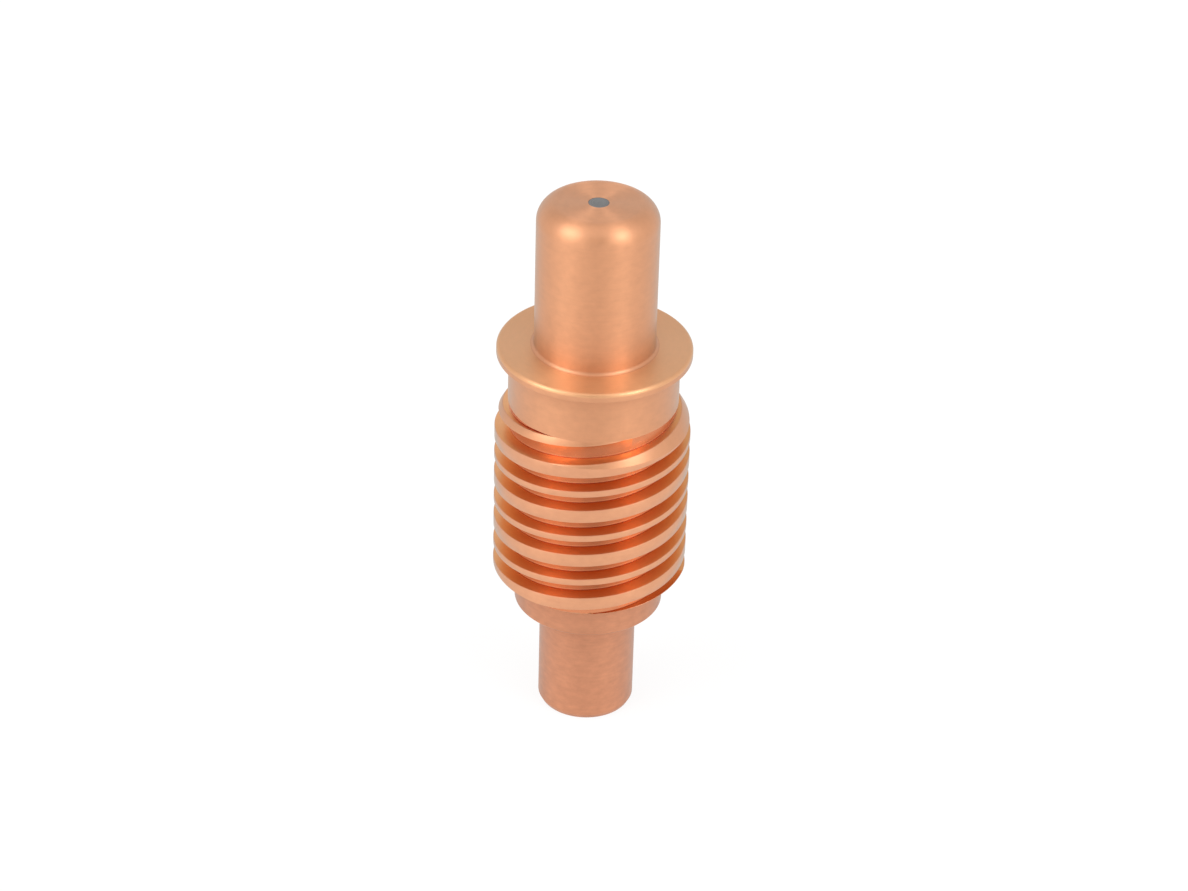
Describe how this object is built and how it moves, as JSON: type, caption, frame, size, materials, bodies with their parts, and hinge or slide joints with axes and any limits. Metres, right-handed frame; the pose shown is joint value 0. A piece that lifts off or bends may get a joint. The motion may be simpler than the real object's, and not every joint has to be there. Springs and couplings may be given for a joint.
{
  "type": "plasma torch electrode",
  "caption": "Turned copper plasma torch electrode: plain stem, helically grooved cooling body, thin flange and a rounded nose with a flush hafnium emitter.",
  "frame": {"origin": "centre of the stem's flat end face, which is the bottom of the standing part", "axes": "+Z along the turning axis from the stem to the nose; +X is the side where the first cooling groove starts, 6.615 mm above the stem's end face; +Y completes the right-handed frame"},
  "size_m": [0.011, 0.011, 0.0326],
  "materials": {
    "copper": "bare turned copper, bright, with fine turning marks",
    "hafnium": "dull grey metal, faced flush with the copper"
  },
  "bodies": {
    "root": {"electrode_body": "copper", "emitter_insert": "hafnium"}
  },
  "joints": []
}
